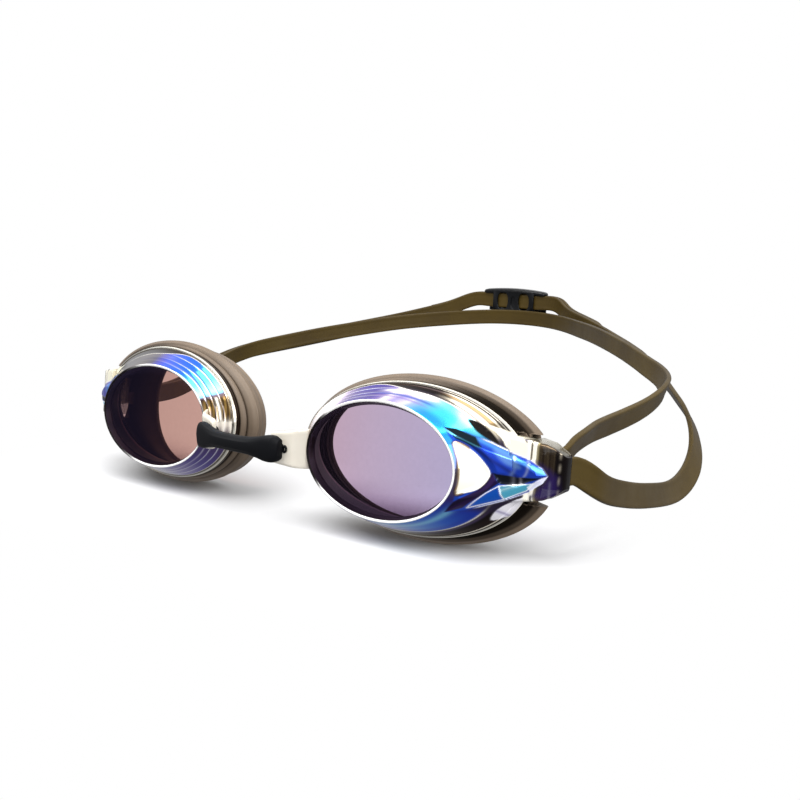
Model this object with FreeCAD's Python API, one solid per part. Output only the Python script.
import FreeCAD, Part
import math
import os

from FreeCAD import Placement, Rotation, Vector

os.makedirs("parts", exist_ok=True)

# Swim goggles with two eye cups, gaskets, a nose bridge and a two-strand strap.
# Millimetres, +Z up.  The wearer looks along -Y and the wearer's left is +X.
# Exported origin: centre of the overall box in X and Y, its lowest point in Z.
# Parts are built in a construction frame with its zero midway between the two
# lens windows.  The left-hand cup parts are mirrored in X for the right.
ORIGIN = Vector(-38.71, 113.29, -19.05)     # exported origin in the construction frame

# Eye cup.  Cup coordinates are x to the temple, y back, z up, from the centre
# of the lens window.  Each ring is an ellipse: half width A, half height B.
LENS_PITCH = 76.0                       # between the centres of the two windows
WINDOW_A, WINDOW_B = 20.4, 13.1
WINDOW_BORDER = 0.4                     # front face of the cup beyond the window
WINDOW_INSET = 0.9                      # front end of the hollow within the window
WINDOW_T = 1.5
CUP_TOE = 1.1                           # degrees, each window turned outwards
CUP_TILT = 4.7                          # degrees, top of each window leans back
FLANGE_CENTRE = Vector(3.5, 7.9, 0.5)   # rear rim of the cup
FLANGE_A, FLANGE_B = 29.3, 17.0
FLANGE_YAW = 4.7                        # degrees, temple end lies further back
RIM_T = 1.3
CAVITY_A, CAVITY_B = 26.4, 13.8         # opening of the cup towards the eye

# Gasket
GASKET_CENTRE = Vector(4.2, 11.8, 0.5)  # widest ring
GASKET_A, GASKET_B = 33.0, 18.6
GASKET_YAW = 2.5
LIP_CENTRE = Vector(1.6, 17.3, GASKET_CENTRE.z - 0.2)    # outer edge of the rear lip
LIP_A, LIP_B = 28.6, 17.2
LIP_YAW = 5.0
SEAL_CENTRE = Vector(-0.9, 18.0, GASKET_CENTRE.z - 0.3)  # opening of the lip
SEAL_A, SEAL_B = 25.4, 15.7
SEAL_YAW = 6.4
GASKET_GAP = 0.03                       # between the cup's rim and the gasket
LUG_CLEARANCE = 0.25                    # between the lug and the gasket

# Strap
STRAP_W, STRAP_T = 6.2, 1.4
WRAP_GAP = 0.18                         # between strap and post
WRAP_LEG = 3.0                          # straight legs behind the post
LAYER_GAP = 0.08                        # between the two strap layers in the clip
JOINT_HALF_GAP = 0.25                   # from each half's end to the joint
SECTION_STEP = 6.0                      # spacing of the strap's loft sections
TAIL_BEFORE, TAIL_AFTER = 68.0, 43.0    # second layer, before and after the clip centre
TIP_L, TIP_SHARE = 5.0, 0.45            # narrowing tip: length, width share at its end

# Strap lug, in cup coordinates
POST = Vector(35.2, 15.0, 2.25)         # centre of the vertical strap post
POST_R = 1.25
LUG_R = 3.7                             # outside of the rounded lug end
LUG_FRONT = 2.4                         # nose side of the lug, reach ahead of the post
LUG_BACK = 1.7                          # reach of the lug behind the post
LUG_H_CUP, LUG_H_POST, LUG_H_END = 14.4, 11.7, 8.4
LUG_BLANK_HALF = 8.0                    # half height before the lug is tapered
SLOT_R = 3.05
SLOT_HALF = STRAP_W / 2 + 0.4           # half height of the slot round the post

# Nose bridge, tab and peg, in the construction frame
BRIDGE_HALF = 13.6                      # half length over the pointed ends
BRIDGE_T = 2.5
BRIDGE_END_THINNING = 0.7
BRIDGE_H_END, BRIDGE_H_MID = 6.3, 3.8
BRIDGE_BACK_MID, BRIDGE_BOW = -6.6, 2.1     # y of the back at the middle, rise to the ends
BRIDGE_CHAMFER = 0.8
BRIDGE_Z = -0.5
TAB_BLANK_HALF = 4.85
PEG_SEAT = Vector(12.0, -3.35, BRIDGE_Z)
PEG_BACKWARD = Vector(-0.315, 0.949, 0)     # along the peg, out of the back of the tab
PEG_R, PEG_HOLE_R, PEG_HEAD_R = 0.9, 1.3, 1.6

# Clip
CLIP_L, CLIP_H, CLIP_T = 30.0, 9.4, 5.2
CLIP_CORNER_R = 1.3
CLIP_CENTRE = Vector(-75.6, 231.2, 19.4)
CLIP_DIR = Vector(-0.9965, -0.0837, 0.0)    # along the strap, towards the right lug
CLIP_RUN = 18.5                         # half of the straight run of strap in the clip

# Cup coordinates of the left cup into the construction frame
CUP = Placement(
    Vector(LENS_PITCH / 2, 0, 0),
    Rotation(Vector(1, 0, 0), -CUP_TILT).multiply(Rotation(Vector(0, 0, 1), CUP_TOE)),
)


# ------------------------------ shared shapes ------------------------------
def back_normal(yaw):
    """Unit normal, pointing back, of a ring yawed by so many degrees."""
    angle = math.radians(yaw)
    return Vector(-math.sin(angle), math.cos(angle), 0)


def ellipse(centre, half_width, half_height, yaw=0.0, push=0.0):
    """Ellipse wire in cup coordinates, pushed back along its own normal."""
    angle = math.radians(yaw)
    middle = centre + back_normal(yaw) * push
    along = Vector(math.cos(angle), math.sin(angle), 0) * half_width
    curve = Part.Ellipse(middle + along, middle + Vector(0, 0, half_height), middle)
    return Part.Wire([curve.toShape()])


def flange_ring(half_width, half_height, push=0.0):
    return ellipse(FLANGE_CENTRE, half_width, half_height, FLANGE_YAW, push)


def loft(wires):
    """Ruled solid through the wires."""
    return Part.makeLoft(wires, True, True)


def closed_wire(points):
    return Part.makePolygon(points + [points[0]])


def rectangle(x0, x1, y0, y1):
    return [(x0, y0), (x1, y0), (x1, y1), (x0, y1)]


def prism(outline, z, half_height):
    """Vertical prism over a list of (x, y), centred on height z."""
    wire = closed_wire([Vector(x, y, z - half_height) for x, y in outline])
    return Part.Face(wire).extrude(Vector(0, 0, 2 * half_height))


def side_profile(profile, z, y, depth):
    """Solid seen from the side as (x, half height) about height z, extruded
    back from y."""
    lower = [Vector(x, y, z - half) for x, half in profile]
    upper = [Vector(x, y, z + half) for x, half in reversed(profile)]
    return Part.Face(closed_wire(lower + upper)).extrude(Vector(0, depth, 0))


def post_cylinder(radius, half_height):
    """Vertical cylinder centred on the strap post."""
    base = POST - Vector(0, 0, half_height)
    return Part.makeCylinder(radius, 2 * half_height, base, Vector(0, 0, 1))


def on_cup(shape):
    """Move a shape from cup coordinates to the left cup."""
    shape.Placement = CUP
    return shape.copy()


def mirror_x(shape):
    return shape.mirror(Vector(0, 0, 0), Vector(1, 0, 0))


def peg(radius, front, back):
    """Cylinder square to the nose tab, from front ahead of the peg's seat to
    back behind it."""
    axis = Vector(PEG_BACKWARD)
    axis.normalize()
    return Part.makeCylinder(radius, front + back, PEG_SEAT - axis * front, axis)


# --------------------------------- eye cup ---------------------------------
def strap_lug():
    """Lug from the cup's temple slope round the post, with the strap's slot."""
    side = POST.x + LUG_R
    nose_side = POST.x - LUG_R
    back = POST.y + LUG_BACK
    outline = [
        (28.0, 7.4), (34.0, 9.55), (POST.x + 2.18, POST.y - 2.98), (side, POST.y),
        (side, back), (nose_side, back), (nose_side, POST.y - LUG_FRONT), (30.0, 11.2),
    ]
    blank = prism(outline, POST.z, LUG_BLANK_HALF).fuse(post_cylinder(LUG_R, LUG_BLANK_HALF))
    taper = side_profile(
        [(27, LUG_H_CUP / 2), (POST.x + 1.4, LUG_H_POST / 2), (side + 0.3, LUG_H_END / 2)],
        POST.z, 0, 30)
    lug = blank.common(taper)
    lug = lug.common(prism(rectangle(20, 50, 0, back), POST.z, LUG_BLANK_HALF))
    slot_mouth = [
        (POST.x - SLOT_R, POST.y), (POST.x + SLOT_R, POST.y),
        (POST.x + 3.4, back + 1), (POST.x - 3.6, back + 1),
    ]
    slot = post_cylinder(SLOT_R, SLOT_HALF).fuse(prism(slot_mouth, POST.z, SLOT_HALF))
    return lug.cut(slot)


def nose_tab():
    """Cranked plate towards the nose, lower at its nose end."""
    outline = [
        (20.2, 0.5), (20.2, 3.2), (18.2, 2.0), (15.2, -1.3),
        (9.7, -3.1), (9.7, -5.0), (15.6, -3.1), (17.6, -0.3),
    ]
    blank = prism(outline, BRIDGE_Z, TAB_BLANK_HALF)
    return blank.common(side_profile([(9, 3.4), (21, 5.2)], BRIDGE_Z, -9, 18))


def eye_cup():
    body = loft([
        ellipse(Vector(0, 0, 0), WINDOW_A + WINDOW_BORDER, WINDOW_B + WINDOW_BORDER),
        flange_ring(FLANGE_A, FLANGE_B),
    ])
    rim = Part.Face(flange_ring(FLANGE_A, FLANGE_B)).extrude(back_normal(FLANGE_YAW) * RIM_T)
    post = post_cylinder(POST_R, SLOT_HALF + 0.3)
    body = body.fuse(rim).fuse(strap_lug()).fuse(post)

    # hollow towards the eye, leaving the lens at the front
    hollow = loft([
        ellipse(Vector(0.4, WINDOW_T, 0), WINDOW_A - WINDOW_INSET, WINDOW_B - WINDOW_INSET),
        flange_ring(CAVITY_A, CAVITY_B, RIM_T + 0.5),
    ])
    body = on_cup(body.cut(hollow))
    body = body.fuse(nose_tab().cut(on_cup(hollow)))
    body = body.cut(peg(PEG_HOLE_R, front=4.0, back=4.0))
    return body.removeSplitter()


# --------------------------------- gasket ----------------------------------
def lug_clearance():
    """Room for the strap lug at the temple end of the gasket."""
    nose_side = POST.x - LUG_R - LUG_CLEARANCE
    outline = [
        (26.0, 5.0), (48.0, 5.0), (48.0, 30.0), (nose_side, 30.0),
        (nose_side, POST.y - LUG_FRONT), (30.6, 12.0), (26.0, 12.0),
    ]
    return prism(outline, POST.z, LUG_H_CUP / 2 + LUG_CLEARANCE)


def gasket():
    seat = RIM_T + GASKET_GAP
    outer = loft([
        flange_ring(FLANGE_A - 0.4, FLANGE_B - 0.4, seat),
        ellipse(GASKET_CENTRE, GASKET_A, GASKET_B, GASKET_YAW),
        ellipse(GASKET_CENTRE, GASKET_A - 0.3, GASKET_B - 0.3, GASKET_YAW, 1.6),
        ellipse(LIP_CENTRE, LIP_A, LIP_B, LIP_YAW),
    ])
    inner = loft([
        flange_ring(CAVITY_A + 0.2, CAVITY_B + 0.2, seat - 1.0),
        flange_ring(CAVITY_A + 0.2, CAVITY_B + 0.2, seat + 0.4),
        ellipse(GASKET_CENTRE - Vector(0.6, 0, 0), GASKET_A - 3.4, GASKET_B - 2.4,
                GASKET_YAW, 1.8),
        ellipse(SEAL_CENTRE, SEAL_A, SEAL_B, SEAL_YAW),
    ])
    ring = outer.cut(inner).cut(lug_clearance())
    # keep only the ring, without any sliver left by the cuts
    return on_cup(max(ring.Solids, key=lambda solid: solid.Volume))


# ------------------------------- nose bridge -------------------------------
# (share of the half length from the middle, share of the widening to end height)
BRIDGE_STATIONS = [
    (0.00, 0.0), (0.22, 0.0), (0.42, 0.10), (0.60, 0.45),
    (0.74, 0.90), (0.84, 1.0), (0.93, 0.93), (1.0, 0.62),
]


def bridge_section(share, widening):
    """Section across the bridge with its two front edges chamfered."""
    x = share * BRIDGE_HALF
    back = BRIDGE_BACK_MID + BRIDGE_BOW * share ** 2
    thickness = BRIDGE_T if abs(share) < 0.95 else BRIDGE_T - BRIDGE_END_THINNING
    front = back - thickness
    half = (BRIDGE_H_MID + (BRIDGE_H_END - BRIDGE_H_MID) * widening) / 2
    bottom, top = BRIDGE_Z - half, BRIDGE_Z + half
    return closed_wire([
        Vector(x, back, bottom),
        Vector(x, front + BRIDGE_CHAMFER, bottom),
        Vector(x, front, bottom + BRIDGE_CHAMFER),
        Vector(x, front, top - BRIDGE_CHAMFER),
        Vector(x, front + BRIDGE_CHAMFER, top),
        Vector(x, back, top),
    ])


def nose_bridge():
    """Dog-bone bridge, bowed forwards, with a headed peg through each tab."""
    right_half = [(-share, widening) for share, widening in reversed(BRIDGE_STATIONS[1:])]
    body = loft([bridge_section(*station) for station in right_half + BRIDGE_STATIONS])
    headed_peg = peg(PEG_R, front=2.2, back=1.5).fuse(peg(PEG_HEAD_R, front=-1.2, back=1.9))
    body = body.fuse(headed_peg).fuse(mirror_x(headed_peg))
    return body.removeSplitter()


# ---------------------------------- strap ----------------------------------
# Centre lines of the strands, from the left lug to the right one.
# Columns: x, y, z, lean of the band in degrees (top edge outwards positive).
INNER = [
    (70.79, 20.0, 0.8, 0), (70.85, 21.4, 1.0, 3), (70.2, 26.6, 2.7, 17),
    (68.5, 35.6, 4.4, 25), (66.2, 46.0, 4.8, 23), (64.9, 56.3, 5.0, 21),
    (64.3, 66.5, 5.6, 20), (63.8, 76.0, 6.5, 20), (62.9, 85.0, 7.8, 20),
    (60.5, 94.6, 9.1, 19), (55.8, 104.4, 9.8, 17), (49.2, 114.0, 10.5, 11),
    (43.0, 120.8, 11.2, 6), (34.0, 130.3, 12.3, 1), (22.2, 143.0, 13.4, 0),
    (3.9, 162.6, 14.3, 0), (-8.0, 176.3, 14.2, 0), (-20.1, 190.6, 13.7, 0),
    (-40.5, 213.4, 13.0, 0), (-51.0, 221.6, 12.9, 0), (-65.0, 227.2, 12.8, 0),
    (-84.0, 225.8, 12.2, 0), (-101.0, 215.6, 10.5, 0), (-115.0, 200.8, 8.4, 0),
    (-126.5, 186.2, 5.6, 0), (-137.4, 172.2, 2.5, 0), (-146.1, 158.9, -0.6, 0),
    (-151.0, 146.2, -3.2, 0), (-151.0, 132.8, -6.0, 0), (-145.6, 117.6, -8.8, 0),
    (-130.8, 90.4, -11.4, 0), (-116.7, 69.4, -10.0, 0), (-98.5, 45.6, -5.8, 0),
    (-85.5, 31.2, -2.0, 0), (-74.6, 24.2, 0.3, 0), (-71.1, 21.6, 0.7, 0),
    (-70.79, 20.0, 0.8, 0),
]
INNER_JOINT = 16           # index of the point where the two halves meet
OUTER_LEFT = [
    (75.04, 20.0, 0.7, 0), (75.2, 21.4, 0.5, 0), (76.9, 25.5, -1.8, 0),
    (77.3, 31.2, -4.7, -2), (76.2, 41.0, -7.7, -4), (74.4, 53.2, -10.6, -8),
    (72.4, 66.0, -13.1, -12), (70.2, 78.0, -15.2, -18), (68.8, 87.5, -16.0, -24),
    (67.7, 96.5, -14.8, -29), (66.3, 104.0, -11.9, -31), (63.8, 110.6, -8.4, -31),
    (60.4, 116.4, -5.1, -30), (55.4, 123.5, -2.1, -30), (48.4, 132.7, 0.1, -30),
    (40.1, 144.0, 1.9, -29), (31.0, 156.2, 3.9, -24), (20.6, 169.3, 5.4, -18),
    (10.6, 180.7, 6.7, -11), (-3.8, 194.6, 8.6, -5),
]
# The right half of the outer strand starts where the left half ends.
OUTER_TO_CLIP = [
    OUTER_LEFT[-1], (-21.7, 209.6, 11.3, 0), (-36.5, 219.8, 13.8, 0), (-48.0, 227.2, 16.4, 0),
]
OUTER_AFTER_CLIP = [(-104.3, 225.5, 15.3, 0), (-111.3, 219.2, 12.4, 0)]
OUTER_TO_LUG = [(-80.2, 24.3, 0.3, 0), (-75.5, 21.6, 0.7, 0), (-75.04, 20.0, 0.8, 0)]
CLIP_RUN_SHARES = (-1, -0.66, -0.33, 0, 0.33, 0.66, 1)

# Between clip and lug the outer strand follows these points of INNER.
FOLLOW_FIRST, FOLLOW_LAST = 23, len(INNER) - 4
OFFSET_FIRST, OFFSET_LAST = 8.2, 3.3    # outwards from the inner strand
OUTER_LIFT = -1.4                       # height above the inner strand
OUTER_LIFT_FIRST = 1.6                  # added at the first followed point


def outer_right_stations():
    """Joint, straight run through the clip, then outside the inner strand."""
    stations = list(OUTER_TO_CLIP)
    for share in CLIP_RUN_SHARES:
        point = CLIP_CENTRE + CLIP_DIR * (CLIP_RUN * share)
        stations.append((point.x, point.y, point.z, 0))
    stations += OUTER_AFTER_CLIP
    for i in range(FOLLOW_FIRST, FOLLOW_LAST + 1):
        before, here, after = INNER[i - 1:i + 2]
        run_x, run_y = after[0] - before[0], after[1] - before[1]
        run = math.hypot(run_x, run_y)
        progress = (i - FOLLOW_FIRST) / (FOLLOW_LAST - FOLLOW_FIRST)
        offset = OFFSET_FIRST - (OFFSET_FIRST - OFFSET_LAST) * min(1.0, progress * 3.2)
        lift = OUTER_LIFT + OUTER_LIFT_FIRST * max(0.0, 1 - progress * 6.0)
        # (run_y, -run_x) points out of the loop
        stations.append((
            here[0] + run_y / run * offset,
            here[1] - run_x / run * offset,
            here[2] + lift * (1 - 0.9 * progress),
            0,
        ))
    return stations + OUTER_TO_LUG


class StrapPath:
    """Smooth centre line with a lean angle through a list of stations."""

    def __init__(self, stations):
        points = [Vector(*station[:3]) for station in stations]
        self.leans = [station[3] for station in stations]
        self.curve = Part.BSplineCurve()
        self.curve.interpolate(Points=points, PeriodicFlag=False)
        self.params = [self.curve.parameter(point) for point in points]
        self.length = self.curve.length()

    def length_to(self, point):
        return self.curve.length(self.curve.FirstParameter, self.curve.parameter(point))

    def lean_at(self, param):
        """Lean in radians, eased between neighbouring stations."""
        i = 0
        while i < len(self.params) - 2 and param > self.params[i + 1]:
            i += 1
        share = (param - self.params[i]) / (self.params[i + 1] - self.params[i])
        share = min(1.0, max(0.0, share))
        share = share * share * (3 - 2 * share)
        return math.radians(self.leans[i] * (1 - share) + self.leans[i + 1] * share)

    def frame(self, distance):
        """Point, direction across the band's width and direction outwards."""
        param = self.curve.parameterAtDistance(distance, self.curve.FirstParameter)
        tangent = self.curve.tangent(param)[0]
        upright = Vector(0, 0, 1) - tangent * tangent.z
        upright.normalize()
        level = tangent.cross(upright)
        lean = self.lean_at(param)
        across = upright * math.cos(lean) + level * math.sin(lean)
        return self.curve.value(param), across, tangent.cross(across)


def band(path, start, end, offset=0.0, pointed=False, fixed=()):
    """Strap between two arc lengths; offset moves the layer outwards and
    pointed narrows its start.  Layers on one path share their section places,
    which include the fixed ones, so that they stay parallel."""
    count = round(path.length / SECTION_STEP)
    grid = [path.length * i / count for i in range(count + 1)]
    grid = [s for s in grid if all(abs(s - place) > SECTION_STEP / 2 for place in fixed)]
    grid += fixed
    head = [start, start + 2.0, start + 4.8] if pointed else [start]
    first = start + (6.0 if pointed else 1.5)
    places = head + sorted(s for s in grid if first < s < end - 1.5) + [end]

    wires = []
    for place in places:
        point, across, out = path.frame(place)
        width_share = 1.0
        if pointed:
            opening = math.sqrt((place - start) / TIP_L)
            width_share = min(1.0, TIP_SHARE + (1 - TIP_SHARE) * opening)
        centre = point + out * offset
        side = across * (STRAP_W / 2 * width_share)
        face = out * (STRAP_T / 2)
        wires.append(closed_wire([
            centre + side + face, centre - side + face,
            centre - side - face, centre + side - face,
        ]))
    return loft(wires)


def strap_wrap():
    """Strap turned round the front of the post, legs running back out of the lug."""
    inside = POST_R + WRAP_GAP
    outside = inside + STRAP_T
    half = STRAP_W / 2
    turn = post_cylinder(outside, half).cut(post_cylinder(inside, half + 1))
    behind = rectangle(POST.x - 9, POST.x + 9, POST.y, POST.y + 9)
    turn = turn.cut(prism(behind, POST.z, half + 1))
    leg_end = POST.y + WRAP_LEG
    nose_leg = rectangle(POST.x - outside, POST.x - inside, POST.y, leg_end)
    temple_leg = rectangle(POST.x + inside, POST.x + outside, POST.y, leg_end)
    legs = prism(nose_leg, POST.z, half).fuse(prism(temple_leg, POST.z, half))
    return on_cup(turn.fuse(legs).removeSplitter())


# ---------------------------------- clip -----------------------------------
def strap_clip():
    """Channel for two strap layers, with windows in its inner and outer walls.
    Local x runs along the strap, local y outwards from the first layer."""
    layers_half = (2 * STRAP_T + LAYER_GAP) / 2
    middle = (STRAP_T + LAYER_GAP) / 2      # y of the channel's centre
    inner_face = middle - CLIP_T / 2
    body = Part.makeBox(CLIP_L, CLIP_T, CLIP_H, Vector(-CLIP_L / 2, inner_face, -CLIP_H / 2))
    upright_edges = [e for e in body.Edges if abs(e.Vertexes[0].Z - e.Vertexes[1].Z) > 1]
    body = body.makeFillet(CLIP_CORNER_R, upright_edges)
    body = body.cut(Part.makeBox(
        CLIP_L + 2, 2 * layers_half + 0.7, STRAP_W + 0.6,
        Vector(-CLIP_L / 2 - 1, middle - layers_half - 0.35, -STRAP_W / 2 - 0.3)))
    for x0, x1 in ((-9.9, -4.6), (4.6, 9.9)):
        for y0 in (inner_face - 1, middle + layers_half + 0.2):
            body = body.cut(Part.makeBox(
                x1 - x0, CLIP_T / 2, STRAP_W + 0.2, Vector(x0, y0, -STRAP_W / 2 - 0.1)))
    top_pad = Part.makeBox(
        CLIP_L - 3, CLIP_T - 1.2, 1.0,
        Vector(-CLIP_L / 2 + 1.5, inner_face + 0.6, CLIP_H / 2 - 0.2))
    body = body.fuse(top_pad).removeSplitter()
    # local x ends up opposite to CLIP_DIR, which turns local y outwards
    angle = math.degrees(math.atan2(CLIP_DIR.y, CLIP_DIR.x)) + 180
    body.rotate(Vector(0, 0, 0), Vector(0, 0, 1), angle)
    body.translate(CLIP_CENTRE)
    return body


# -------------------------------- all pieces -------------------------------
def strap_bands():
    inner = StrapPath(INNER)
    joint = inner.length_to(Vector(*INNER[INNER_JOINT][:3]))
    outer_left = StrapPath(OUTER_LEFT)
    outer_right = StrapPath(outer_right_stations())
    clip = outer_right.length_to(CLIP_CENTRE)
    fixed = (clip - CLIP_RUN, clip, clip + CLIP_RUN)
    return {
        "strap_inner_left": band(inner, 0.0, joint - JOINT_HALF_GAP),
        "strap_inner_right": band(inner, joint + JOINT_HALF_GAP, inner.length),
        "strap_outer_left": band(outer_left, 0.0, outer_left.length - JOINT_HALF_GAP),
        "strap_outer_right": band(outer_right, JOINT_HALF_GAP, outer_right.length, fixed=fixed),
        "strap_tails": band(outer_right, clip - TAIL_BEFORE, clip + TAIL_AFTER,
                            offset=STRAP_T + LAYER_GAP, pointed=True, fixed=fixed),
    }


nodes = {"nose_bridge": nose_bridge(), "strap_clip": strap_clip()}
nodes.update(strap_bands())
for name, build in (("eye_cup", eye_cup), ("gasket", gasket), ("strap_wrap", strap_wrap)):
    left = build()
    nodes[name + "_left"] = left
    nodes[name + "_right"] = mirror_x(left)

for name, shape in nodes.items():
    shape = shape.copy()
    shape.translate(ORIGIN * -1)
    # booleans may wrap a single solid in a compound
    if shape.ShapeType == "Compound" and len(shape.Solids) == 1:
        shape = shape.Solids[0]
    shape.exportStep("parts/%s.step" % name)
